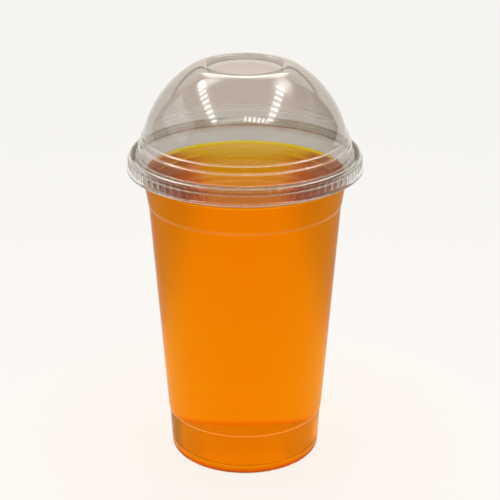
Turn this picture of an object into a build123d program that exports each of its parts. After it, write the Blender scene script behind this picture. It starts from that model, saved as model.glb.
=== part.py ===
from build123d import *
import os
from math import hypot, sqrt

os.makedirs("parts", exist_ok=True)

# Clear cold-drink cup with a domed lid, filled with an amber drink.
# Z is the axis of the cup, and Z = 0 is the surface that it stands on.
# All sizes are in millimetres.

# Cup: one thermoformed sheet
cup_height = 139.5  # top of the rolled rim
cup_wall = 0.4
rim_radius = 49.0  # outside of the rolled rim
rim_roll_height = 3.4  # from the top of the rim to the underside of the roll
rim_round = 1.3  # the roll's own corners, on the inner side of the sheet
rim_tuck = 1.5  # how far the roll's edge runs back under the rim
rim_tuck_round = 0.7
mouth_radius = 45.6  # outside of the wall where it turns into the rim
mouth_round = 0.8
shoulder_radius = 41.75  # outside of the wall at the upper stacking ring
shoulder_drop = 22.3  # from the top of the rim down to that ring
shoulder_step = 0.3
shoulder_rise = 0.5
band_height = 19.3  # top of the plain band above the foot
band_radius = 34.3
band_step = 0.45
band_rise = 0.6
foot_radius = 33.3  # outside of the wall if it ran on down to the ground
heel_round = 1.6
stand_width = 3.6  # flat ring that the cup stands on, with the heel
push_up_height = 2.6  # how far the bottom is raised inside the ring
push_up_draft = 0.9

# Drink: fills the cup to a level below the rim
drink_drop = 10.5  # from the top of the rim down to the surface

# Lid: one thermoformed sheet that sits on the rim
lid_wall = 0.35
rim_gap = 0.3  # running clearance around the rim
skirt_height = 6.5  # from the top of the rim down to the skirt's edge
skirt_flare = 0.2  # how far the skirt leans out above its lip
skirt_lip_height = 1.2
skirt_lip_flare = 0.95
skirt_round = 1.1
flange_width = 3.6  # flat that rests on the rim, with the skirt's corner
step_rise = 4.7  # height of the lower step above the flange
step_draft = 0.55
step_ledge = 0.9  # width of each small ledge under the dome
step_slope = 0.25  # how far a ledge climbs towards the dome
second_step_rise = 2.7
second_step_draft = 0.25
dome_centre_drop = 1.4  # the dome's centre lies this far below the rim
dome_radius = 44.5
hole_radius = 15.7  # hole for a straw or a spoon
crown_round = 13.0  # bend from the dome to the hole's level edge
lip_round = 0.9  # turned-in edge of the hole
lip_depth = 1.5

# Flutes pressed outwards in the skirt
flute_count = 80
flute_width = 2.0  # at its root in the skirt's wall
flute_crown = 1.0  # flat front of a flute
flute_depth = 0.45
flute_height = 3.9
flute_lift = 0.25  # from the skirt's lip to the flutes

# The outer skin of the cup, from the middle of the bottom to the roll's edge
shoulder_height = cup_height - shoulder_drop
stand_radius = foot_radius - stand_width
push_up_radius = stand_radius - push_up_draft
rim_top = cup_height - cup_wall
rim_side = rim_radius - cup_wall
rim_under = cup_height - rim_roll_height + cup_wall
wall_corners = [
    (0, push_up_height),
    (push_up_radius, push_up_height),
    (stand_radius, 0),
    (foot_radius, 0),
    (band_radius, band_height),
    (band_radius + band_step, band_height + band_rise),
    (shoulder_radius, shoulder_height),
    (shoulder_radius + shoulder_step, shoulder_height + shoulder_rise),
    (mouth_radius, rim_top),
]
wall_rounds = [0, 0, heel_round, 0, 0, 0, 0]
rim_corners = [
    (rim_side, rim_top),
    (rim_side, rim_under),
    (rim_side - rim_tuck, rim_under),
]
rim_rounds = [mouth_round, rim_round, rim_tuck_round]

with BuildPart() as cup:
    with BuildSketch(Plane.XZ):
        with BuildLine():
            cup_skin = FilletPolyline(
                *wall_corners, *rim_corners, radius=wall_rounds + rim_rounds
            )
            offset(cup_skin, amount=cup_wall, side=Side.LEFT)
        make_face()
    revolve(axis=Axis.Z)

# The drink fills the inside of the wall and is cut off level
drink_level = cup_height - drink_drop

with BuildPart() as drink:
    with BuildSketch(Plane.XZ):
        with BuildLine():
            wall_skin = FilletPolyline(*wall_corners, radius=wall_rounds, mode=Mode.PRIVATE)
            inside = offset(wall_skin, amount=cup_wall, side=Side.LEFT, closed=False)
            Polyline(inside @ 0, (0, rim_top), inside @ 1)
        make_face()
    revolve(axis=Axis.Z)
    split(bisect_by=Plane.XY.offset(drink_level), keep=Keep.BOTTOM)

# The outer skin of the lid, from the skirt's edge up to the hole
flange_top = cup_height + lid_wall
skirt_top_radius = rim_radius + rim_gap + lid_wall
skirt_foot_radius = skirt_top_radius + skirt_flare
skirt_edge = cup_height - skirt_height
flange_radius = skirt_top_radius - flange_width
step_radius = flange_radius - step_draft
step_top = flange_top + step_rise
second_step_radius = step_radius - step_ledge - second_step_draft
second_step_top = step_top + step_slope + second_step_rise
dome_centre = cup_height - dome_centre_drop
dome_foot = second_step_top + step_slope
dome_foot_radius = sqrt(dome_radius**2 - (dome_foot - dome_centre) ** 2)

# The crown touches the dome from inside and is level where the hole's rounded lip begins
lip_centre_radius = hole_radius + lip_round
crown_centre = dome_centre + sqrt((dome_radius - crown_round) ** 2 - lip_centre_radius**2)
crown_reach = dome_radius / (dome_radius - crown_round)
dome_end = (
    lip_centre_radius * crown_reach,
    dome_centre + (crown_centre - dome_centre) * crown_reach,
)
lid_top = crown_centre + crown_round
lip_centre = lid_top - lip_round

# A flute's section runs from the middle of the skirt's wall out to a flat front.
# Its hollow is the same section one wall thickness further in on every side.
flute_root = (skirt_top_radius + skirt_foot_radius - lid_wall) / 2
flute_front = skirt_foot_radius + flute_depth
root_half = flute_width / 2
front_half = flute_crown / 2
flank_slope = (root_half - front_half) / (flute_front - flute_root)
flank_inset = lid_wall * (hypot(1, flank_slope) - flank_slope)
flute_section = [
    (flute_root, -root_half),
    (flute_front, -front_half),
    (flute_front, front_half),
    (flute_root, root_half),
]
hollow_section = [
    (flute_root - lid_wall, flank_inset - root_half),
    (flute_front - lid_wall, flank_inset - front_half),
    (flute_front - lid_wall, front_half - flank_inset),
    (flute_root - lid_wall, root_half - flank_inset),
]

with BuildPart() as dome_lid:
    with BuildSketch(Plane.XZ):
        with BuildLine():
            with BuildLine() as lid_skin:
                FilletPolyline(
                    (skirt_foot_radius + skirt_lip_flare, skirt_edge),
                    (skirt_foot_radius, skirt_edge + skirt_lip_height),
                    (skirt_top_radius, flange_top),
                    (flange_radius, flange_top),
                    (step_radius, step_top),
                    (step_radius - step_ledge, step_top + step_slope),
                    (second_step_radius, second_step_top),
                    (dome_foot_radius, dome_foot),
                    radius=[0, skirt_round, 0, 0, 0, 0],
                )
                RadiusArc((dome_foot_radius, dome_foot), dome_end, -dome_radius)
                RadiusArc(dome_end, (lip_centre_radius, lid_top), -crown_round)
                RadiusArc((lip_centre_radius, lid_top), (hole_radius, lip_centre), -lip_round)
                Line((hole_radius, lip_centre), (hole_radius, lip_centre - lip_depth))
            offset(lid_skin.line, amount=lid_wall, side=Side.LEFT)
        make_face()
    revolve(axis=Axis.Z)
    flute_foot = Plane.XY.offset(skirt_edge + skirt_lip_height + flute_lift)
    with BuildSketch(flute_foot):
        with PolarLocations(0, flute_count):
            Polygon(*flute_section, align=None)
    extrude(amount=flute_height)
    with BuildSketch(flute_foot):
        with PolarLocations(0, flute_count):
            Polygon(*hollow_section, align=None)
    extrude(amount=flute_height, mode=Mode.SUBTRACT)

for name, piece in {"cup": cup, "drink": drink, "dome_lid": dome_lid}.items():
    piece.part.label = name
    export_step(piece.part, f"parts/{name}.step")
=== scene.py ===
"""Dresses a clear cold-drink cup, its domed lid and the amber drink in it.

The cup stands on the floor of a small light tent. Z is the axis of the cup, and every size is in
metres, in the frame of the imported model.
"""

import math

import bmesh
import bpy
from bpy.props import FloatProperty, FloatVectorProperty, IntProperty, PointerProperty
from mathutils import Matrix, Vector


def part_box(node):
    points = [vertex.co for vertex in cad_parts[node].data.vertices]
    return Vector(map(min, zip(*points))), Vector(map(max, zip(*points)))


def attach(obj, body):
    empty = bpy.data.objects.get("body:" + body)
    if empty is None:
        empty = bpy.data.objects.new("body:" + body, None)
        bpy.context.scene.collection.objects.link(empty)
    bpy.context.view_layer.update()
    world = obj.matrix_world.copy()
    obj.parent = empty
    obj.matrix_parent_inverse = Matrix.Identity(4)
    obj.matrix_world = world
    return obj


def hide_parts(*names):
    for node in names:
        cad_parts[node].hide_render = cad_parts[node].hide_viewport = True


bl_info = {
    "name": "Clear cup with domed lid",
    "version": (1, 0, 0),
    "blender": (4, 5, 0),
    "location": "View3D > Sidebar > Clear cup",
    "description": "Makes a clear cold-drink cup, its domed lid and its drink, and lights them",
    "category": "Object",
}

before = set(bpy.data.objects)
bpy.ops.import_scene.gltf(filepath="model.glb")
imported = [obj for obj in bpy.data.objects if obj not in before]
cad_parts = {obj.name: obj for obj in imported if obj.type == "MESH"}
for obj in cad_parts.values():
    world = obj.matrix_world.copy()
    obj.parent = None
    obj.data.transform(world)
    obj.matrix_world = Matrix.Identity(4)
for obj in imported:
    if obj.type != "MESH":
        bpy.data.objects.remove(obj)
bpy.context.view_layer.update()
cup_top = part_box("cup")[1]
drink_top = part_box("drink")[1]

MM = 0.001
FULL_TURN = 2 * math.pi
SEEN_BY = ("Is Camera Ray", "Is Glossy Ray", "Is Transmission Ray")
FAR = 1.0  # a metre, which is past every surface of the cup
NOT_ZERO = 0.01  # least divisor of a direction
BLACK = (0, 0, 0)

# Steps of the curves, and how close their points lie. A bend's are over a quarter turn.
CUP_BEND_STEPS = 6
LID_BEND_STEPS = 4
DOME_STEPS = 17
CROWN_STEPS = 5
LIP_STEPS = 4
CLIMB_STEPS = 12  # over the drink's climb, and again from there to the axis
CLIMB_FALL = 3.0  # how fast the climb falls off from the wall
RIM_SUPPORT = 0.05 * MM  # from the drink's edge to the next point down the wall
LONG_RUN = 2 * MM  # a run longer than this is flat
LONG_DOME_RUN = 2.15 * MM  # a little more than one of the dome's steps
FLUTED_RUN = 0.5 * MM  # longest run where the flutes are pressed
FLAT_END = 0.15 * MM  # how close to a bend a flat run gets its extra point
RAIL_RADIUS = 1 * MM  # the circle that the profiles are swept along
WELD = 0.002 * MM  # points closer than this are one

# How much the materials bend light, and what share of their mirror is left
PLASTIC_INDEX = 1.575
WET_INDEX = 1.05  # so that the drink seems to reach through the sheet to the air
DRINK_INDEX = 1.34
BUBBLE_INDEX = 1.2
DRY_GLOSS = 0.15
WET_GLOSS = 0.1
DRINK_GLOSS = 0.05
WET_GLINT = 0.3  # of the cup's rings
TINT_EDGE = 0.1 * MM  # soft width between two tints
CROWN_EDGE = 6 * MM
CROWN_WIDTH = 5 * MM  # how far the crown's tint reaches from the hole

# The stage. The camera was fitted to the cup's outlines in the photograph.
BOUNCES = 48
FLOOR_RADIUS = 6.0
FLOOR_SIDES = 96
FLOOR_DROP = 0.05 * MM  # a hair below the cup's foot
SENSOR_WIDTH = 36  # in Blender's millimetres
PHOTO_WIDTH = 500  # pixels
FOCAL_LENGTH = 1490.16  # pixels
CAMERA_SHIFT = 4.948  # pixels
CAMERA_PLACE = (0, -605.682 * MM, 341.732 * MM)
CAMERA_DIP = 0.388667  # radians below level

# The tent, as directions seen from the cup. Across the ceiling is x / z and along it is y / z.
# Each span has a middle, half a width and a soft edge.
CEILING = ((-0.08, 0.97, 0.08), (-0.05, 1.0, 0.08))
SIDE_STRIPS = (
    ((-0.72, 0.08, 0.06), (0.03, 0.74, 0.05)),
    ((0.57, 0.08, 0.06), (-0.15, 0.5, 0.05)),
)
FRONT_STRIP = ((0.24, 0.26, 0.1), (-0.67, 0.07, 0.05))
SIDE_PITCH = 0.15  # from one lamp of a strip to the next
FRONT_PITCH = 0.1
PANELS = (  # across, along and share of the strips' light
    ((0.0, 0.6, 0.1), (-0.68, 0.07, 0.08), 0.25),  # sheen of the front strip
    ((0.62, 0.15, 0.25), (0.5, 0.25, 0.35), 0.4),  # right corner at the back
    ((-0.55, 0.2, 0.3), (0.55, 0.15, 0.3), 0.4),  # left corner at the back
    ((-0.72, 0.12, 0.2), (0.03, 0.74, 0.2), 0.16),  # halo of the left strip
    ((0.57, 0.12, 0.2), (-0.1, 0.6, 0.2), 0.16),  # halo of the right strip
)
BACK_BARS = (  # across, start and end along with their soft edges, and share of the light
    ((0.0, 0.5, 0.3), (0.8, 0.5), (1.55, 0.08), 0.6),
    ((0.0, 0.55, 0.3), (0.65, 0.7), (1.5, 0.1), 0.08),
)
BACK_BAR_DIMMING = 0.9  # for rays that have come through the drink or a sheet
BACK_CORNER = (1.0, 0.08)  # where the side walls meet the back, and how softly
FRONT_CORNER = (-1.0, 0.3)
LEFT_FADE = (0.0, 0.8)  # the left wall is darker in front of this
LEFT_DARKEST = 0.2  # as a share of its light
HORIZON = (0.05, 0.1)  # the ceiling and its lamps fade out here
WINDOW = ((0.2, 0.5, 0.1), (0.5, 0.25, 0.08))  # in the left wall, along it and up it
GLARE_FLAG = (0.337, 0.037, 0.02)  # heights on the back wall that the drink's surface mirrors
GLARE_DIMMING = 0.9
FOOT_BAND = (0.49, 0.05, 0.04)  # heights on the walls that show through the foot
FRONT_FOOT_BAND = (0.37, 0.1, 0.06)  # the same on the front, seen from behind


def length(name, description, default):
    """A size in metres, given here in millimetres."""
    return FloatProperty(name=name, description=description, default=default * MM, unit="LENGTH")


def number(name, description, default, least=0):
    return IntProperty(name=name, description=description, default=default, min=least)


def share(name, description, default):
    return FloatProperty(name=name, description=description, default=default, min=0, max=1)


def amount(name, description, default):
    return FloatProperty(name=name, description=description, default=default, min=0)


def colour(name, description, default):
    return FloatVectorProperty(
        name=name, description=description, default=default, size=3, min=0, max=1, subtype="COLOR"
    )


class CupSizes(bpy.types.PropertyGroup):
    height: length("Height", "From the floor to the top of the rolled rim", cup_top[2] / MM)
    wall: length("Wall", "Thickness of the formed sheet", 0.4)
    rim_radius: length("Rim radius", "Outside of the rolled rim", cup_top[0] / MM)
    roll_height: length("Roll height", "From the top of the rim to its underside", 3.4)
    roll_round: length("Roll corner", "Bend of the rim's outer corners", 1.3)
    tuck: length("Tuck", "How far the roll's edge runs back under the rim", 1.5)
    mouth_radius: length("Mouth radius", "Outside of the wall under the rim", 45.6)
    shoulder_radius: length("Shoulder radius", "Outside of the wall at the upper ring", 41.75)
    shoulder_drop: length("Shoulder drop", "From the rim down to the upper ring", 22.3)
    shoulder_step: length("Shoulder step", "How far the upper ring steps out", 0.3)
    shoulder_rise: length("Shoulder rise", "Height of that step", 0.5)
    band_height: length("Band height", "Top of the plain band above the foot", 19.3)
    band_radius: length("Band radius", "Outside of the wall at that height", 34.3)
    band_step: length("Band step", "How far the wall steps out over the band", 0.45)
    band_rise: length("Band rise", "Height of that step", 0.6)
    foot_radius: length("Foot radius", "Outside of the wall at the floor", 33.3)
    heel_round: length("Heel", "Bend between the wall and the floor", 1.6)
    stand_width: length("Stand width", "Flat ring that the cup stands on", 3.6)
    push_up_height: length("Push-up", "How far the bottom is raised", 2.6)
    push_up_draft: length("Push-up draft", "Slant of the raised bottom's side", 0.9)
    bend: length("Bend", "Rounding of the rings and of the raised bottom", 0.64)
    mouth_round: length("Mouth corner", "Bend from the wall into the rim", 0.96)
    sides: number("Sides", "Steps round the cup", 288, 24)


class LidSizes(bpy.types.PropertyGroup):
    wall: length("Wall", "Thickness of the formed sheet", 0.35)
    rim_gap: length("Rim gap", "Clearance round the cup's rim", 0.3)
    skirt_height: length("Skirt height", "From the rim's top to the skirt's edge", 6.5)
    skirt_flare: length("Skirt flare", "How far the skirt leans out", 0.2)
    lip_height: length("Skirt lip height", "Height of the flared lip", 1.2)
    lip_flare: length("Skirt lip flare", "How far that lip leans out", 0.95)
    skirt_round: length("Skirt corner", "Bend between the skirt and the flange", 1.1)
    flange_width: length("Flange width", "Flat that rests on the rim", 3.6)
    step_rise: length("Step rise", "Height of the lower step", 4.7)
    step_draft: length("Step draft", "Slant of the lower step", 0.55)
    ledge: length("Ledge", "Width of each small ledge under the dome", 0.9)
    ledge_slope: length("Ledge slope", "How far a ledge climbs towards the dome", 0.25)
    second_rise: length("Second step rise", "Height of the upper step", 2.7)
    second_draft: length("Second step draft", "Slant of the upper step", 0.25)
    bend: length("Bend", "Rounding of the steps' outer corners", 0.7)
    inner_bend: length("Inner bend", "Rounding of the steps' inner corners", 0.33)
    dome_drop: length("Dome centre drop", "How far the dome's centre lies below the rim", 1.4)
    dome_radius: length("Dome radius", "Outside of the dome", 44.5)
    hole_radius: length("Hole radius", "Hole for a straw or a spoon", 15.7)
    crown_round: length("Crown", "Bend from the dome to the hole's level edge", 13.0)
    hole_round: length("Hole lip", "Bend of the hole's turned-in edge", 0.9)
    hole_depth: length("Hole lip depth", "Straight end of that edge", 1.5)
    flutes: number("Flutes", "Flutes round the skirt", 80, 3)
    flute_width: length("Flute width", "Width at the root of a flute", 2.0)
    flute_crown: length("Flute crown", "Width of its front", 1.0)
    flute_depth: length("Flute depth", "How far a flute stands out", 0.45)
    flute_height: length("Flute height", "Height of a flute", 3.9)
    flute_lift: length("Flute lift", "From the skirt's lip to the flutes", 0.25)
    flute_steps: number("Flute steps", "Steps over one flute", 8, 4)


class DrinkSizes(bpy.types.PropertyGroup):
    level: length("Level", "Height of the drink's surface", drink_top[2] / MM)
    climb: length("Climb", "How far the surface climbs at the wall", 0.9)
    climb_width: length("Climb width", "How far from the wall the climb fades", 2.6)
    sides: number("Sides", "Steps round the drink", 288, 24)
    bubbles: number("Bubbles", "Small bubbles on the wall", 34)
    bubble_radius: length("Bubble radius", "Radius of the largest bubble", 0.55)
    seed: number("Seed", "Sets where the bubbles sit", 7)


class Finishes(bpy.types.PropertyGroup):
    cup_tint: colour("Cup tint", "What light keeps through a dry wall", (0.74, 0.715, 0.67))
    wet_tint: colour("Wet cup tint", "What light keeps through a wet wall", (1.0, 0.93, 0.25))
    # Painted highlight: a lighter, yellower tint along the cup's rings, for the light lines there
    wet_bend_highlight_tint: colour("Wet bend tint", "The same at the cup's rings", (1.0, 1.0, 0.5))
    dome_tint: colour("Dome tint", "What light keeps through the dome", (0.75, 0.72, 0.68))
    rim_tint: colour("Rim tint", "What light keeps through the rims", (0.82, 0.80, 0.76))
    # Painted highlight: a lighter tint along the lid's bends, for the light lines that run along
    # them
    bend_highlight_tint: colour("Bend tint", "Where the lid's sheet is drawn thin", (0.95, 0.94, 0.92))
    # Painted shade: a dark tint at the end of the hole's turned-in lip, for the dark line along the
    # hole's edge
    hole_lip_painted_shade: colour("Cut tint", "Cut edge of the hole, seen end on", (0.4, 0.39, 0.37))
    drink_tint: colour("Drink tint", "The drink at the wall", (1.0, 0.52, 0.02))
    # Painted light: a lighter tint at the drink's surface, for the thin depth of drink that light
    # crosses there
    surface_painted_light: colour("Surface tint", "The drink at its thin surface", (1.0, 0.9, 0.12))
    # Painted shade: a darker, redder tint at the foot, for the depth of drink that light crosses
    # there
    heel_painted_shade: colour("Heel tint", "The drink at the foot, seen deep", (0.86, 0.15, 0.0))
    # Painted highlight: the bubbles' pale colour gives them the light specks that their mirror
    # gives real bubbles
    bubble_highlight_tint: colour("Bubble tint", "Air bubbles in the drink", (1.0, 0.86, 0.55))
    drink_colour: colour("Drink colour", "What the drink lets through", (0.995, 0.82, 0.0))
    drink_density: amount("Drink density", "How fast it takes light out, per metre", 45)
    drink_clearness: share("Drink clearness", "The rest of its light is scattered", 0.94)
    near_floor: colour("Near floor", "Pale floor round the cup", (1.0, 0.975, 0.94))
    # Painted light: a warm pool on the floor at the foot, for light that comes through the drink
    painted_foot_glow: colour("Foot floor", "Floor at the foot, warm from the drink", (1.0, 0.93, 0.86))
    far_floor: colour("Far floor", "Pale floor behind the cup", (0.91, 0.895, 0.87))
    floor_glow: share("Floor glow", "How much of the floor shows as lit evenly", 0.92)


class TentLight(bpy.types.PropertyGroup):
    ceiling: amount("Ceiling", "Light of the tent's top", 0.35)
    back: amount("Back", "Light of the wall behind", 0.85)
    left: amount("Left", "Light of the wall on the left", 0.45)
    right: amount("Right", "Light of the wall on the right", 0.03)
    front: amount("Front", "Light of the open front", 0.06)
    window: amount("Window", "Light of the window in the left wall", 0.6)
    foot: amount("Foot", "Light of the walls that shows through the foot", 0.6)
    front_foot: amount("Front foot", "The same from the front, seen from behind", 0.5)
    strips: amount("Strips", "Light of the lamp strips above", 8.0)
    cloth: colour("Cloth", "Light of the tent's cloth", (1.0, 0.985, 0.96))
    back_cloth: colour("Back cloth", "Light of the wall behind", (1.0, 0.93, 0.82))


GROUPS = {
    "cup_sizes": CupSizes,
    "lid_sizes": LidSizes,
    "drink_sizes": DrinkSizes,
    "cup_finishes": Finishes,
    "tent_light": TentLight,
}


# Outlines of the formed sheets, as (radius, height) points


def rounded(corners, rounds, steps):
    """Points along a line through the corners, each bent to its own radius, and their normals.

    A normal points to the left of the line. A corner with no radius stays one point, whose normal
    is the mean of its two sides.
    """
    corners = [Vector(c) for c in corners]
    points = []
    for i, corner in enumerate(corners):
        before = (corner - corners[i - 1]).normalized() if i else None
        after = (corners[i + 1] - corner).normalized() if i < len(corners) - 1 else None
        if before is None or after is None:
            side = after if before is None else before
            points.append((corner, Vector((-side.y, side.x))))
            continue
        turn = math.atan2(before.cross(after), before.dot(after))
        left = Vector((-before.y, before.x))
        radius = rounds[i - 1]
        if not radius:
            middle = before + after
            points.append((corner, Vector((-middle.y, middle.x)).normalized()))
            continue
        start = corner - before * radius * math.tan(abs(turn) / 2)
        centre = start + left * math.copysign(radius, turn)
        count = max(2, math.ceil(steps * abs(turn) / (math.pi / 2)))
        for k in range(count + 1):
            angle = turn * k / count
            normal = Vector(
                (
                    left.x * math.cos(angle) - left.y * math.sin(angle),
                    left.x * math.sin(angle) + left.y * math.cos(angle),
                )
            )
            points.append((centre - normal * math.copysign(radius, turn), normal))
    return points


def divided(points, longest, low, high):
    """The same line with its runs between two heights cut into pieces no longer than a size."""
    result = [points[0]]
    for (p, n), (q, m) in zip(points, points[1:]):
        within = low <= min(p.y, q.y) and max(p.y, q.y) <= high
        count = math.ceil((q - p).length / longest) if within else 1
        for k in range(1, count + 1):
            t = k / count
            result.append((p.lerp(q, t), n.lerp(m, t).normalized()))
    return result


def supported(points, longest):
    """The same line with points close to the ends of each long run, which keep it shaded flat."""
    result = [points[0]]
    for (p, n), (q, m) in zip(points, points[1:]):
        run = (q - p).length
        if run > longest:
            result += [(p.lerp(q, FLAT_END / run), n), (q.lerp(p, FLAT_END / run), m)]
        result.append((q, m))
    return result


def split_at(points, height):
    """The same line with a point where it first climbs past a height."""
    result = [points[0]]
    for (p, n), (q, m) in zip(points, points[1:]):
        if p.y < height < q.y:
            t = (height - p.y) / (q.y - p.y)
            result.append((p.lerp(q, t), n.lerp(m, t).normalized()))
        result.append((q, m))
    return result


def rolled_end(point, normal, wall, steps=4):
    """Points round the free edge of a sheet, from its outer skin to its inner one."""
    along = Vector((normal.y, -normal.x))
    middle = point + normal * wall / 2
    turns = [math.pi * k / steps for k in range(1, steps)]
    return [middle + (along * math.sin(a) - normal * math.cos(a)) * wall / 2 for a in turns]


def shortened(line, cut):
    """The same line with its last point drawn back."""
    (before, m), (last, n) = line[-2:]
    return line[:-1] + [(last - (last - before).normalized() * cut, n)]


def cup_line(s):
    """Outer skin of the cup, from the middle of the bottom to the edge of the roll."""
    shoulder = s.height - s.shoulder_drop
    stand = s.foot_radius - s.stand_width
    top = s.height - s.wall
    side = s.rim_radius - s.wall
    under = s.height - s.roll_height + s.wall
    corners = [
        (0, s.push_up_height),
        (stand - s.push_up_draft, s.push_up_height),
        (stand, 0),
        (s.foot_radius, 0),
        (s.band_radius, s.band_height),
        (s.band_radius + s.band_step, s.band_height + s.band_rise),
        (s.shoulder_radius, shoulder),
        (s.shoulder_radius + s.shoulder_step, shoulder + s.shoulder_rise),
        (s.mouth_radius, top),
        (side, top),
        (side, under),
        (side - s.tuck, under),
    ]
    rounds = [s.bend, s.bend, s.heel_round, *[s.bend] * 4, s.mouth_round, s.roll_round, s.bend]
    return supported(rounded(corners, rounds, CUP_BEND_STEPS), LONG_RUN)


def arc(x, y, radius, start, end, steps):
    """Points along part of a circle about a centre."""
    turns = [start + (end - start) * k / steps for k in range(steps + 1)]
    return [(x + radius * math.cos(a), y + radius * math.sin(a)) for a in turns]


def lid_line(s, cup):
    """Outer skin of the lid, from the skirt's edge to the hole's, and where its flutes begin."""
    top_radius = cup.rim_radius + s.rim_gap + s.wall
    foot_radius = top_radius + s.skirt_flare
    edge = cup.height - s.skirt_height
    flange_top = cup.height + s.wall
    flange_radius = top_radius - s.flange_width
    step_radius = flange_radius - s.step_draft
    step_top = flange_top + s.step_rise
    second_radius = step_radius - s.ledge - s.second_draft
    second_top = step_top + s.ledge_slope + s.second_rise
    dome_foot = second_top + s.ledge_slope
    centre = cup.height - s.dome_drop
    lip_radius = s.hole_radius + s.hole_round
    crown_centre = centre + math.sqrt((s.dome_radius - s.crown_round) ** 2 - lip_radius**2)
    lip_height = crown_centre + s.crown_round - s.hole_round
    start = math.asin((dome_foot - centre) / s.dome_radius)
    end = math.atan2(crown_centre - centre, lip_radius)
    level = math.pi / 2
    curve = [
        *arc(0, centre, s.dome_radius, start, end, DOME_STEPS),
        *arc(lip_radius, crown_centre, s.crown_round, end, level, CROWN_STEPS)[1:],
        *arc(lip_radius, lip_height, s.hole_round, level, math.pi, LIP_STEPS)[1:],
    ]
    corners = [
        (foot_radius + s.lip_flare, edge),
        (foot_radius, edge + s.lip_height),
        (top_radius, flange_top),
        (flange_radius, flange_top),
        (step_radius, step_top),
        (step_radius - s.ledge, step_top + s.ledge_slope),
        (second_radius, second_top),
        *curve,
        (s.hole_radius, lip_height - s.hole_depth),
    ]
    rounds = [s.bend, s.skirt_round, s.inner_bend, s.bend, s.inner_bend, s.bend, s.inner_bend]
    rounds += [0] * (len(curve) - 1)
    line = supported(rounded(corners, rounds, LID_BEND_STEPS), LONG_DOME_RUN)
    low = edge + s.lip_height / 2
    high = cup.height - s.skirt_round / 2
    return divided(line, FLUTED_RUN, low, high), edge + s.lip_height + s.flute_lift


def sheet(line, wall, free_start=False):
    """Outline of a sheet of one thickness: its outer skin, then back along its inner one."""
    line = shortened(line, wall / 2)
    if free_start:
        line = shortened(line[::-1], wall / 2)[::-1]
    outer = [p for p, n in line]
    inner = [p + n * wall for p, n in line]
    loop = outer + rolled_end(*line[-1], wall) + inner[::-1]
    if free_start:
        loop += rolled_end(line[0][0] + line[0][1] * wall, -line[0][1], wall)
    return loop


# Node trees

ONE_FINISH = {"Material": "NodeSocketMaterial"}
TWO_FINISHES = {**ONE_FINISH, "Low Material": "NodeSocketMaterial", "Level": "NodeSocketFloat"}


class Wire:
    """A node socket that can stand in sums. Each sum adds Math nodes to the socket's tree."""

    def __init__(self, tree, socket=None):
        self.tree = tree
        self.socket = socket

    def add(self, kind, settings=(), sockets=(), output=0):
        """Adds a node, gives it its settings, fills its sockets and returns one of its outputs."""
        node = self.tree.nodes.new(kind)
        for name, value in dict(settings).items():
            setattr(node, name, value)
        for name, value in dict(sockets).items():
            if isinstance(value, Wire):
                self.tree.links.new(value.socket, node.inputs[name])
            else:
                node.inputs[name].default_value = value
        return Wire(self.tree, node.outputs[output])

    def math(self, operation, *values, clamp=False):
        settings = {"operation": operation, "use_clamp": clamp}
        return self.add("ShaderNodeMath", settings, dict(enumerate(values)))

    def __add__(self, other):
        return self.math("ADD", self, other)

    def __radd__(self, other):
        return self.math("ADD", other, self)

    def __sub__(self, other):
        return self.math("SUBTRACT", self, other)

    def __rsub__(self, other):
        return self.math("SUBTRACT", other, self)

    def __mul__(self, other):
        return self.math("MULTIPLY", self, other)

    def __rmul__(self, other):
        return self.math("MULTIPLY", other, self)

    def __truediv__(self, other):
        return self.math("DIVIDE", self, other)

    def __rtruediv__(self, other):
        return self.math("DIVIDE", other, self)

    def __pow__(self, other):
        return self.math("POWER", self, other)

    def __abs__(self):
        return self.math("ABSOLUTE", self)

    def above(self, edge, width):
        """0 below an edge and 1 above it, with a soft change of a given width about it."""
        return self.add(
            "ShaderNodeMapRange",
            {"interpolation_type": "SMOOTHSTEP"},
            {0: self, 1: edge - width / 2, 2: edge + width / 2},
        )

    def within(self, low, high, soft):
        """1 between two values and 0 outside them."""
        return self.above(low, soft) * (1 - self.above(high, soft))

    def near(self, place, half_width, soft):
        """1 within half a width of a place and 0 away from it."""
        return 1 - abs(self - place).above(half_width, soft)


def new_tree(name, inputs):
    """An empty geometry tree with named inputs, and its input sockets by name."""
    tree = bpy.data.node_groups.new(name, "GeometryNodeTree")
    tree.interface.new_socket("Geometry", in_out="OUTPUT", socket_type="NodeSocketGeometry")
    tree.interface.new_socket("Geometry", in_out="INPUT", socket_type="NodeSocketGeometry")
    for title, kind in inputs.items():
        tree.interface.new_socket(title, in_out="INPUT", socket_type=kind)
    node = tree.nodes.new("NodeGroupInput")
    return tree, {s.name: Wire(tree, s) for s in node.outputs if s.name}


def close_tree(tree, geometry, given):
    """Ends a tree in plain geometry with its material, and with a second one below a level."""
    real = geometry.add("GeometryNodeRealizeInstances", sockets={0: geometry})
    finish = {"Geometry": real, "Material": given["Material"]}
    done = real.add("GeometryNodeSetMaterial", sockets=finish)
    if "Low Material" in given:
        place = real.add("GeometryNodeInputPosition")
        height = real.add("ShaderNodeSeparateXYZ", sockets={0: place}, output=2)
        below = height.math("LESS_THAN", height, given["Level"])
        finish = {"Geometry": done, "Selection": below, "Material": given["Low Material"]}
        done = real.add("GeometryNodeSetMaterial", sockets=finish)
    end = tree.nodes.new("NodeGroupOutput")
    tree.links.new(done.socket, end.inputs[0])


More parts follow.
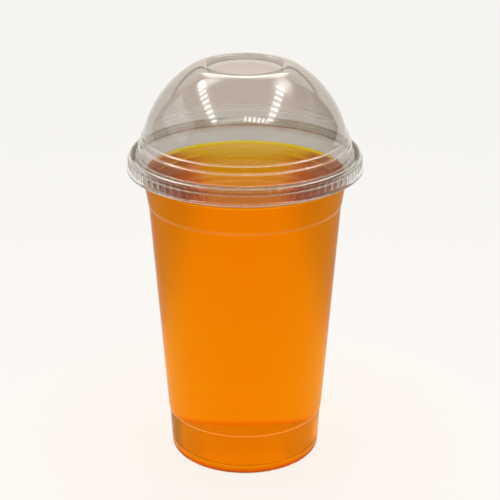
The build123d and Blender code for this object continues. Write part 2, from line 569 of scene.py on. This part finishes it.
def turned(profile, sides):
    """Turns a line of (radius, height) points about Z, and closes the shape at its poles."""
    wire = profile.add("GeometryNodeMeshToCurve", sockets={0: profile})
    rail = profile.add(
        "GeometryNodeCurvePrimitiveCircle", sockets={"Resolution": sides, "Radius": RAIL_RADIUS}
    )
    lathe = profile.add("GeometryNodeCurveToMesh", sockets={"Curve": rail, "Profile Curve": wire})
    merged = profile.add(
        "GeometryNodeMergeByDistance", sockets={"Geometry": lathe, "Distance": WELD}
    )
    return profile.add("GeometryNodeSetShadeSmooth", sockets={"Geometry": merged})


def lathe_tree(finishes):
    """Turns a profile into a smooth round shape, with one finish or two."""
    tree, given = new_tree("Turned shape", {"Sides": "NodeSocketInt", **finishes})
    close_tree(tree, turned(given["Geometry"], given["Sides"]), given)
    return tree


def fluted_tree():
    """Turns a profile, then presses flutes outwards in a band of its wall."""
    names = ("Flute Width", "Flute Crown", "Flute Depth", "Flute Foot", "Flute Height")
    inputs = {"Sides": "NodeSocketInt", "Flutes": "NodeSocketInt"}
    inputs.update({name: "NodeSocketFloat" for name in names})
    tree, given = new_tree("Fluted turned shape", {**inputs, **TWO_FINISHES})
    shape = turned(given["Geometry"], given["Sides"])
    place = shape.add("GeometryNodeInputPosition")
    split = place.add("ShaderNodeSeparateXYZ", sockets={0: place})
    x, y, z = (Wire(tree, s) for s in split.socket.node.outputs)
    radius = (x * x + y * y) ** 0.5
    turn = y.math("ARCTAN2", y, x) / FULL_TURN * given["Flutes"]
    aside = abs(turn.math("FRACT", turn + 0.5) - 0.5) * FULL_TURN * radius / given["Flutes"]
    slope = (given["Flute Width"] - given["Flute Crown"]) / 2
    across = aside.math("DIVIDE", given["Flute Width"] / 2 - aside, slope, clamp=True)
    rise = z - given["Flute Foot"]
    ends = rise.math("MINIMUM", rise, given["Flute Height"] - rise)
    along = ends.math("DIVIDE", ends, given["Flute Depth"], clamp=True)
    push = across * along * given["Flute Depth"]
    outward = place.add(
        "ShaderNodeCombineXYZ", sockets={0: x / radius * push, 1: y / radius * push, 2: 0.0}
    )
    pressed = shape.add("GeometryNodeSetPosition", sockets={"Geometry": shape, "Offset": outward})
    close_tree(tree, pressed, given)
    return tree


def bubble_tree():
    """Puts small beads on the wall of the drink, at random places between two heights."""
    smallest = 0.3  # as a share of the largest
    inputs = {
        "Count": "NodeSocketInt",
        "Radius": "NodeSocketFloat",
        "Low": "NodeSocketFloat",
        "High": "NodeSocketFloat",
        "Low Radius": "NodeSocketFloat",
        "High Radius": "NodeSocketFloat",
        "Seed": "NodeSocketInt",
        **ONE_FINISH,
    }
    tree, given = new_tree("Bubbles on a wall", inputs)
    seed = given["Seed"]

    def chance(low, high, offset):
        index = seed.add("GeometryNodeInputIndex")
        sockets = {2: low, 3: high, "ID": index, "Seed": seed + offset}
        return seed.add("FunctionNodeRandomValue", {"data_type": "FLOAT"}, sockets, 1)

    points = seed.add("GeometryNodePoints", sockets={0: given["Count"]})
    turn = chance(0.0, FULL_TURN, 0)
    height = chance(0.0, 1.0, 1) ** 0.7  # more of them high up
    radius = given["Low Radius"] + (given["High Radius"] - given["Low Radius"]) * height
    place = seed.add(
        "ShaderNodeCombineXYZ",
        sockets={
            0: radius * turn.math("COSINE", turn),
            1: radius * turn.math("SINE", turn),
            2: given["Low"] + (given["High"] - given["Low"]) * height,
        },
    )
    moved = seed.add("GeometryNodeSetPosition", sockets={"Geometry": points, "Position": place})
    bead = seed.add(
        "GeometryNodeMeshIcoSphere", sockets={"Radius": given["Radius"], "Subdivisions": 2}
    )
    size = chance(smallest, 1.0, 2)
    beads = seed.add(
        "GeometryNodeInstanceOnPoints", sockets={"Points": moved, "Instance": bead, "Scale": size}
    )
    smooth = seed.add(
        "GeometryNodeSetShadeSmooth",
        sockets={"Geometry": seed.add("GeometryNodeRealizeInstances", sockets={0: beads})},
    )
    close_tree(tree, smooth, given)
    return tree


def shaped(name, points, closed, tree, values):
    """A plain mesh object: a line of points run through a geometry tree."""
    mesh = bpy.data.meshes.new(name)
    edges = [(i, i + 1) for i in range(len(points) - 1)]
    if closed:
        edges.append((len(points) - 1, 0))
    mesh.from_pydata([(p.x - RAIL_RADIUS, -p.y, 0) for p in points], edges, [])
    piece = bpy.data.objects.new(name, mesh)
    bpy.context.scene.collection.objects.link(piece)
    modifier = piece.modifiers.new("Shape", "NODES")
    modifier.node_group = tree
    for socket in tree.interface.items_tree:
        if socket.in_out == "INPUT" and socket.name in values:
            modifier[socket.identifier] = values[socket.name]
    done = bpy.data.meshes.new_from_object(
        piece.evaluated_get(bpy.context.evaluated_depsgraph_get())
    )
    piece.modifiers.clear()
    piece.data = done
    bpy.data.meshes.remove(mesh)
    done.name = name
    for index in reversed(range(len(done.materials))):
        if not done.materials[index]:
            done.materials.pop(index=index)
    turn_outwards(piece)
    return piece


def turn_outwards(piece):
    """Makes a closed mesh's faces point outwards, and stops if the mesh is empty or open."""
    shape = bmesh.new()
    shape.from_mesh(piece.data)
    volume = shape.calc_volume(signed=True)
    open_edges = sum(not e.is_manifold for e in shape.edges)
    shape.free()
    if open_edges or not volume:
        raise RuntimeError(f"{piece.name} has {open_edges} open edges and a volume of {volume}")
    if volume < 0:
        piece.data.flip_normals()


# Materials


def new_material(name):
    """An empty material, a wire to build it with and its output."""
    material = bpy.data.materials.new(name)
    material.use_nodes = True
    tree = material.node_tree
    tree.nodes.clear()
    end = tree.nodes.new("ShaderNodeOutputMaterial")
    return material, Wire(tree), end


def tinted(shade, mask, tint):
    """The shade, with a tint of its own where the mask is 1."""
    sockets = {0: mask, 6: shade, 7: (*tint, 1)}
    return mask.add("ShaderNodeMix", {"data_type": "RGBA"}, sockets, 2)


def clear_plastic(
    name,
    tint,
    patches=(),
    bends=(),
    bend_highlight_tint=None,
    index=PLASTIC_INDEX,
    gloss=1.0,
    glint=1.0,
    cut_height=None,
):
    """Thin formed sheet: clear, a little grey, with faint ripples and haze from the forming.

    Each patch has a span of radii, a span of heights, a soft edge and a tint. Each bend is a span
    of heights where a coat catches the light and a lighter tint is painted on as a highlight line.
    Below the cut height lies a cut edge, which is whitish.
    """
    smooth = 0.012  # roughness of the clear sheet
    hazy = 0.8 * smooth  # what the haze adds to it
    ripple = 0.02 * MM
    material, wire, end = new_material(name)
    place = wire.add("ShaderNodeTexCoord", output=3)
    split = wire.add("ShaderNodeSeparateXYZ", sockets={0: place})
    x, y, z = (Wire(wire.tree, s) for s in split.socket.node.outputs)
    radius = (x * x + y * y) ** 0.5
    shade = (*tint, 1)
    for radii, heights, edge, patch_tint in patches:
        inside = radius.within(*radii, edge) * z.within(*heights, edge)
        shade = tinted(shade, inside, patch_tint)
    bent = 0.0
    for low, high in bends:
        bent = z.within(low, high, TINT_EDGE) + bent
    # Painted highlight: the bends get a lighter tint of their own
    if bends:
        shade = tinted(shade, bent, bend_highlight_tint)
    cut = 0.0 if cut_height is None else z.math("LESS_THAN", z, cut_height)
    waves = wire.add(
        "ShaderNodeTexNoise",
        sockets={"Vector": place, "Scale": 55.0, "Detail": 2.0, "Roughness": 0.4},
    )
    haze = wire.add(
        "ShaderNodeTexNoise",
        sockets={"Vector": place, "Scale": 420.0, "Detail": 3.0, "Roughness": 0.6},
    )
    bump = wire.add(
        "ShaderNodeBump", sockets={"Strength": 0.5, "Distance": ripple, "Height": waves}
    )
    shader = wire.add(
        "ShaderNodeBsdfPrincipled",
        sockets={
            "Base Color": shade,
            "Metallic": cut * 0.6,
            "Roughness": smooth + hazy * haze.above(0.5, 0.3) + cut * 0.25,
            "IOR": index,
            "Specular Tint": (gloss, gloss, gloss, 1),
            "Transmission Weight": 1.0,
            "Coat Weight": bent * glint,
            "Coat IOR": PLASTIC_INDEX,
            "Normal": bump,
        },
    )
    wire.tree.links.new(shader.socket, end.inputs["Surface"])
    return material


def drink_material(finish, heel, level):
    """Clear amber liquid that takes the blue out of light, and more of it the deeper it is.

    Its wall is a little rough, more so in its upper half, because a smooth one would catch the
    light inside and turn the sides dark red. Its surface is smooth.
    """
    skin = 0.2 * MM  # depth over which the surface has its own finish
    calm = 0.01  # roughness of the surface
    low_cling = 0.1
    high_cling = 0.24  # above 0.27 the picture's noise filter leaves a line on the wall
    material, wire, end = new_material("Amber drink")
    place = wire.add("ShaderNodeTexCoord", output=3)
    height = wire.add("ShaderNodeSeparateXYZ", sockets={0: place}, output=2)
    surface = height.above(level - skin, skin / 2)
    # Painted shade: the drink is tinted darker and redder below the heel
    shade = tinted((*finish.heel_painted_shade, 1), height.above(heel, heel / 2), finish.drink_tint)
    # Painted light: the drink is tinted lighter and yellower at its surface
    shade = tinted(shade, surface, finish.surface_painted_light)
    swell = wire.add(
        "ShaderNodeTexNoise", sockets={"Vector": place, "Scale": 28.0, "Detail": 1.0}
    )
    bump = wire.add(
        "ShaderNodeBump", sockets={"Strength": 0.3, "Distance": 0.02 * MM, "Height": swell}
    )
    cling = low_cling + (high_cling - low_cling) * height.above(level / 2, level / 2)
    shader = wire.add(
        "ShaderNodeBsdfPrincipled",
        sockets={
            "Base Color": shade,
            "Roughness": calm + calm * swell + cling * (1 - surface),
            "IOR": DRINK_INDEX,
            "Specular Tint": (DRINK_GLOSS, DRINK_GLOSS, DRINK_GLOSS, 1),
            "Transmission Weight": finish.drink_clearness,
            "Normal": bump,
        },
    )
    depth = wire.add(
        "ShaderNodeVolumeAbsorption",
        sockets={"Color": (*finish.drink_colour, 1), "Density": finish.drink_density},
    )
    wire.tree.links.new(shader.socket, end.inputs["Surface"])
    wire.tree.links.new(depth.socket, end.inputs["Volume"])
    return material


def bubble_material(finish):
    """Air in the drink: a pale bead that lets light through."""
    material, wire, end = new_material("Air bubble")
    place = wire.add("ShaderNodeTexCoord", output=3)
    mist = wire.add("ShaderNodeTexNoise", sockets={"Vector": place, "Scale": 900.0})
    shader = wire.add(
        "ShaderNodeBsdfPrincipled",
        sockets={
            # Painted highlight: the pale colour makes each bubble a light speck
            "Base Color": (*finish.bubble_highlight_tint, 1),
            "Roughness": 0.05 + 0.05 * mist,
            "IOR": BUBBLE_INDEX,
            "Transmission Weight": 0.8,
        },
    )
    wire.tree.links.new(shader.socket, end.inputs["Surface"])
    return material


def floor_material(finish):
    """Smooth pale table covering with a very faint mottle, and painted warm light at the cup's
    foot.
    """
    far_edge = (0.15, 0.9)  # how far behind the cup the far tint begins, and over what depth
    far_share = 0.9  # the rest of that change is mottled
    foot_edge = (0.09, 0.14)  # how far from the axis the warm tint ends
    side_edge = (0.1, 0.1)  # how far beside the cup the floor is dimmed
    side_dimming = 0.3
    material, wire, end = new_material("Pale floor")
    place = wire.add("ShaderNodeTexCoord", output=3)
    split = wire.add("ShaderNodeSeparateXYZ", sockets={0: place})
    aside, depth, _ = (Wire(wire.tree, s) for s in split.socket.node.outputs)
    mottle = wire.add("ShaderNodeTexNoise", sockets={"Vector": place, "Scale": 9.0, "Detail": 3.0})
    away = depth.above(*far_edge) * far_share + mottle * (1 - far_share)
    shade = tinted((*finish.near_floor, 1), away, finish.far_floor)
    reach = place.add("ShaderNodeVectorMath", {"operation": "LENGTH"}, {0: place}, 1)
    # Painted light: a warm pool round the foot, for the light that comes through the drink
    shade = tinted(shade, 1 - reach.above(*foot_edge), finish.painted_foot_glow)
    cloth = wire.add(
        "ShaderNodeBsdfPrincipled",
        sockets={"Base Color": shade, "Roughness": 0.75, "Specular IOR Level": 0.2},
    )
    camera, glossy, passed = (wire.add("ShaderNodeLightPath", output=name) for name in SEEN_BY)
    seen = camera.math("MAXIMUM", camera, glossy.math("MAXIMUM", glossy, passed))
    # Painted shade: rays that come through the drink see the floor beside the cup darker, which
    # shapes the drink's sides
    dim = passed * (1 - camera) * abs(aside).above(*side_edge) * side_dimming
    glow = wire.add("ShaderNodeEmission", sockets={"Color": tinted(shade, dim, BLACK)})
    lit = seen * finish.floor_glow
    shader = wire.add("ShaderNodeMixShader", sockets={0: lit, 1: cloth, 2: glow})
    wire.tree.links.new(shader.socket, end.inputs["Surface"])
    return material


# Operators


class PieceOperator:
    """What the operators below have in common."""

    bl_options = {"REGISTER", "UNDO"}


class CLEARCUP_OT_stage(PieceOperator, bpy.types.Operator):
    """Adds the camera, the pale floor and the light of the tent"""

    bl_idname = "clearcup.stage"
    bl_label = "Add stage"

    def execute(self, context):
        scene = context.scene
        scene.view_settings.view_transform = "Standard"
        scene.cycles.max_bounces = BOUNCES
        scene.cycles.transmission_bounces = BOUNCES
        scene.cycles.glossy_bounces = BOUNCES
        self.add_camera(scene)
        self.add_floor(scene)
        self.light_tent(scene)
        return {"FINISHED"}

    def add_camera(self, scene):
        """The view of the photograph, whose frame is square."""
        camera = bpy.data.cameras.new("Camera")
        camera.sensor_width = SENSOR_WIDTH
        camera.lens = SENSOR_WIDTH * FOCAL_LENGTH / PHOTO_WIDTH
        camera.shift_x = CAMERA_SHIFT / PHOTO_WIDTH
        camera.clip_start = 10 * MM
        stand = bpy.data.objects.new("Camera", camera)
        stand.location = CAMERA_PLACE
        stand.rotation_euler = (math.pi / 2 - CAMERA_DIP, 0, 0)
        scene.collection.objects.link(stand)
        scene.camera = stand

    def add_floor(self, scene):
        """A wide round floor."""
        shape = bmesh.new()
        bmesh.ops.create_circle(shape, cap_ends=True, radius=FLOOR_RADIUS, segments=FLOOR_SIDES)
        for vertex in shape.verts:
            vertex.co.z = -FLOOR_DROP
        mesh = bpy.data.meshes.new("Floor")
        shape.to_mesh(mesh)
        shape.free()
        mesh.materials.append(floor_material(scene.cup_finishes))
        floor = bpy.data.objects.new("Floor", mesh)
        scene.collection.objects.link(floor)

    def light_tent(self, scene):
        """Light from a box of pale cloth with an open front and a frame of lamp strips on top."""
        light = scene.tent_light
        world = bpy.data.worlds.new("Light tent")
        world.use_nodes = True
        tree = world.node_tree
        tree.nodes.clear()
        wire = Wire(tree)
        direction = wire.add("ShaderNodeTexCoord", output=0)
        split = wire.add("ShaderNodeSeparateXYZ", sockets={0: direction})
        x, y, z = (Wire(tree, s) for s in split.socket.node.outputs)
        passed = wire.add("ShaderNodeLightPath", output="Is Transmission Ray")
        up = z.math("MAXIMUM", z, NOT_ZERO)
        across = x / up
        along = y / up
        raised = z.above(*HORIZON)
        ceiling = across.near(*CEILING[0]) * along.near(*CEILING[1]) * raised
        aside = z.math("MAXIMUM", abs(x), NOT_ZERO)
        facing = y / aside
        back = facing.above(*BACK_CORNER)
        front = 1 - facing.above(*FRONT_CORNER)
        beside = self.side_walls(light, x, facing, z / aside)
        walls = back * light.back + front * light.front + (1 - back - front) * beside
        glow = z.near(*FOOT_BAND) * passed * light.foot
        front_glow = z.near(*FRONT_FOOT_BAND) * passed * light.front_foot
        walls = walls + (1 - back) * glow + front * front_glow
        walls = walls * (1 - back * z.near(*GLARE_FLAG) * GLARE_DIMMING)
        lamps = self.lamps(across, along, passed) * light.strips * raised
        level = ceiling * light.ceiling + (1 - ceiling) * walls + lamps
        shade = tinted((*light.cloth, 1), (1 - ceiling) * back, light.back_cloth)
        shader = wire.add("ShaderNodeBackground", sockets={"Color": shade, "Strength": level})
        end = tree.nodes.new("ShaderNodeOutputWorld")
        tree.links.new(shader.socket, end.inputs["Surface"])
        scene.world = world

    def side_walls(self, light, x, facing, tall):
        """Light of the left wall, which fades towards the front and has a window, and the right."""
        left = 1 - x.above(0.0, 0.05)
        window = facing.near(*WINDOW[0]) * tall.near(*WINDOW[1])
        fade = LEFT_DARKEST + (1 - LEFT_DARKEST) * facing.above(*LEFT_FADE)
        return left * (light.left * fade + window * light.window) + (1 - left) * light.right

    def lamps(self, across, along, passed):
        """The strips of small lamps on the ceiling, the soft panels by them and the back bars."""
        lit = across.near(*FRONT_STRIP[0]) * along.near(*FRONT_STRIP[1])
        lit = lit * self.row(across, FRONT_PITCH)
        row = self.row(along, SIDE_PITCH)
        for width, reach in SIDE_STRIPS:
            lit = lit + across.near(*width) * along.near(*reach) * row
        for width, reach, strength in PANELS:
            lit = lit + across.near(*width) * along.near(*reach) * strength
        direct = 1 - BACK_BAR_DIMMING * passed
        for width, start, end, strength in BACK_BARS:
            bar = along.above(*start) * (1 - along.above(*end)) * across.near(*width) * strength
            lit = lit + bar * direct
        return lit

    def row(self, place, pitch):
        """Small lamps in a row, with dim gaps between them."""
        gap = 0.1
        wave = 0.5 + 0.5 * place.math("COSINE", place * (FULL_TURN / pitch))
        return gap + (1 - gap) * wave**1.5


class CLEARCUP_OT_cup(PieceOperator, bpy.types.Operator):
    """Adds the clear cup: one formed sheet with a rolled rim, two rings and a raised bottom"""

    bl_idname = "clearcup.cup"
    bl_label = "Add cup"

    def execute(self, context):
        sizes = context.scene.cup_sizes
        finish = context.scene.cup_finishes
        drink = context.scene.drink_sizes
        wet = drink.level + drink.climb
        outline = sheet(split_at(cup_line(sizes), wet), sizes.wall)
        shoulder = sizes.height - sizes.shoulder_drop
        # Heights of the cup's heel and rings, which get a coat and a painted highlight tint
        bends = [
            (-MM, sizes.heel_round),
            (sizes.band_height - sizes.band_rise, sizes.band_height + 2 * sizes.band_rise),
            (shoulder - sizes.shoulder_rise, shoulder + 2 * sizes.shoulder_rise),
        ]
        rim = ((sizes.mouth_radius, FAR), (-FAR, FAR), TINT_EDGE, finish.rim_tint)
        wet_wall = clear_plastic(
            "Wet cup sheet",
            finish.wet_tint,
            bends=bends,
            bend_highlight_tint=finish.wet_bend_highlight_tint,
            index=WET_INDEX,
            gloss=WET_GLOSS,
            glint=WET_GLINT,
        )
        dry_wall = clear_plastic("Clear cup sheet", finish.cup_tint, [rim], gloss=DRY_GLOSS)
        values = {
            "Sides": sizes.sides,
            "Level": wet,
            "Material": dry_wall,
            "Low Material": wet_wall,
        }
        cup = shaped("clear_cup", outline, False, lathe_tree(TWO_FINISHES), values)
        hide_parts("cup")
        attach(cup, "cup")
        return {"FINISHED"}


class CLEARCUP_OT_lid(PieceOperator, bpy.types.Operator):
    """Adds the domed lid: fluted skirt, flange, two steps, dome and turned-in hole"""

    bl_idname = "clearcup.lid"
    bl_label = "Add lid"

    def execute(self, context):
        sizes = context.scene.lid_sizes
        finish = context.scene.cup_finishes
        line, flute_foot = lid_line(sizes, context.scene.cup_sizes)
        outline = sheet(line, sizes.wall, free_start=True)
        foot = context.scene.cup_sizes.height
        step = foot + sizes.wall + sizes.step_rise
        dome_foot = step + 2 * sizes.ledge_slope + sizes.second_rise
        # Heights of the lid's bends, which get a coat and a painted highlight tint
        bends = [
            (foot - sizes.skirt_height - MM, foot - sizes.skirt_height + sizes.lip_height),
            (foot - sizes.skirt_round, foot + sizes.wall + sizes.inner_bend),
            (step - sizes.bend, step + sizes.ledge_slope + sizes.inner_bend),
            (dome_foot - sizes.bend, dome_foot + sizes.inner_bend),
        ]
        flange = context.scene.cup_sizes.rim_radius + sizes.rim_gap - sizes.flange_width
        rim = ((flange + sizes.wall, FAR), (-FAR, FAR), TINT_EDGE, finish.rim_tint)
        rim_sheet = clear_plastic(
            "Clear rim sheet",
            finish.dome_tint,
            [rim],
            bends,
            finish.bend_highlight_tint,
            gloss=DRY_GLOSS,
            cut_height=foot - sizes.skirt_height + sizes.wall / 2,
        )
        lip_end = max(p.y for p in outline) - sizes.hole_round - sizes.hole_depth
        crown_width = sizes.hole_radius + CROWN_WIDTH
        crown = ((-FAR, crown_width), (-FAR, FAR), CROWN_EDGE, finish.rim_tint)
        # Painted shade: the end of the hole's lip is tinted dark, for the dark line along the
        # hole's edge
        cut_width = sizes.hole_radius + 2 * sizes.wall
        cut = ((-FAR, cut_width), (-FAR, lip_end + sizes.wall), TINT_EDGE, finish.hole_lip_painted_shade)
        dome_sheet = clear_plastic("Clear dome sheet", finish.dome_tint, [crown, cut])
        values = {
            "Sides": sizes.flutes * sizes.flute_steps,
            "Flutes": sizes.flutes,
            "Flute Width": sizes.flute_width,
            "Flute Crown": sizes.flute_crown,
            "Flute Depth": sizes.flute_depth,
            "Flute Foot": flute_foot,
            "Flute Height": sizes.flute_height,
            "Level": dome_foot + sizes.inner_bend,
            "Material": dome_sheet,
            "Low Material": rim_sheet,
        }
        lid = shaped("clear_dome_lid", outline, True, fluted_tree(), values)
        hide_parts("dome_lid")
        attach(lid, "lid")
        return {"FINISHED"}


class CLEARCUP_OT_drink(PieceOperator, bpy.types.Operator):
    """Adds the amber drink, with its surface drawn up a little at the wall"""

    bl_idname = "clearcup.drink"
    bl_label = "Add drink"

    def execute(self, context):
        sizes = context.scene.drink_sizes
        cup = context.scene.cup_sizes
        outline = self.outline(sizes, cup)
        material = drink_material(context.scene.cup_finishes, cup.push_up_height, sizes.level)
        values = {"Sides": sizes.sides, "Material": material}
        drink = shaped("amber_drink", outline, False, lathe_tree(ONE_FINISH), values)
        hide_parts("drink")
        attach(drink, "cup")
        return {"FINISHED"}

    def outline(self, sizes, cup):
        """The middle of the cup's wall up to the drink's edge, then its surface in to the axis."""
        wall = [p + n * cup.wall / 2 for p, n in cup_line(cup)]
        top = sizes.level + sizes.climb
        line = []
        for p, q in zip(wall, wall[1:]):
            line.append(p)
            if p.y < top <= q.y and p.x > cup.foot_radius:
                line.append(p.lerp(q, (top - p.y) / (q.y - p.y)))
                break
        rim = line[-1]
        line.insert(-1, rim.lerp(line[-2], RIM_SUPPORT / (rim - line[-2]).length))
        end = math.exp(-CLIMB_FALL)
        for k in range(1, CLIMB_STEPS + 1):
            t = k / CLIMB_STEPS
            rise = sizes.climb * (math.exp(-CLIMB_FALL * t) - end) / (1 - end)
            line.append(Vector((rim.x - sizes.climb_width * t, sizes.level + rise)))
        for k in range(1, CLIMB_STEPS + 1):
            radius = (rim.x - sizes.climb_width) * (1 - k / CLIMB_STEPS)
            line.append(Vector((radius, sizes.level)))
        return line


class CLEARCUP_OT_bubbles(PieceOperator, bpy.types.Operator):
    """Adds small bubbles that cling to the wall inside the drink"""

    bl_idname = "clearcup.bubbles"
    bl_label = "Add bubbles"

    def execute(self, context):
        sizes = context.scene.drink_sizes
        cup = context.scene.cup_sizes
        low = cup.band_height + cup.band_rise
        high = cup.height - cup.shoulder_drop
        inset = cup.wall / 2 + sizes.bubble_radius
        values = {
            "Count": sizes.bubbles,
            "Radius": sizes.bubble_radius,
            "Low": low,
            "High": high,
            "Low Radius": cup.band_radius + cup.band_step - inset,
            "High Radius": cup.shoulder_radius - inset,
            "Seed": sizes.seed,
            "Material": bubble_material(context.scene.cup_finishes),
        }
        bubbles = shaped("air_bubbles", [Vector((0, 0))], False, bubble_tree(), values)
        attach(bubbles, "cup")
        return {"FINISHED"}


class CLEARCUP_PT_panel(bpy.types.Panel):
    """Lists the steps that make the cup, and the sizes and colours that they use"""

    bl_idname = "CLEARCUP_PT_panel"
    bl_label = "Clear cup"
    bl_space_type = "VIEW_3D"
    bl_region_type = "UI"
    bl_category = "Clear cup"

    def draw(self, context):
        for step in STEPS:
            self.layout.operator(step.bl_idname)
        for name, group in GROUPS.items():
            box = self.layout.box()
            settings = getattr(context.scene, name)
            for title in group.__annotations__:
                box.prop(settings, title)


STEPS = (
    CLEARCUP_OT_stage,
    CLEARCUP_OT_cup,
    CLEARCUP_OT_lid,
    CLEARCUP_OT_drink,
    CLEARCUP_OT_bubbles,
)


def register():
    for group in (*GROUPS.values(), *STEPS, CLEARCUP_PT_panel):
        bpy.utils.register_class(group)
    for name, group in GROUPS.items():
        setattr(bpy.types.Scene, name, PointerProperty(type=group))


def unregister():
    for name in GROUPS:
        delattr(bpy.types.Scene, name)
    for group in (CLEARCUP_PT_panel, *reversed(STEPS), *reversed(GROUPS.values())):
        bpy.utils.unregister_class(group)


def main():
    register()
    bpy.ops.clearcup.stage()
    bpy.ops.clearcup.cup()
    bpy.ops.clearcup.lid()
    bpy.ops.clearcup.drink()
    bpy.ops.clearcup.bubbles()


if __name__ == "__main__":
    main()
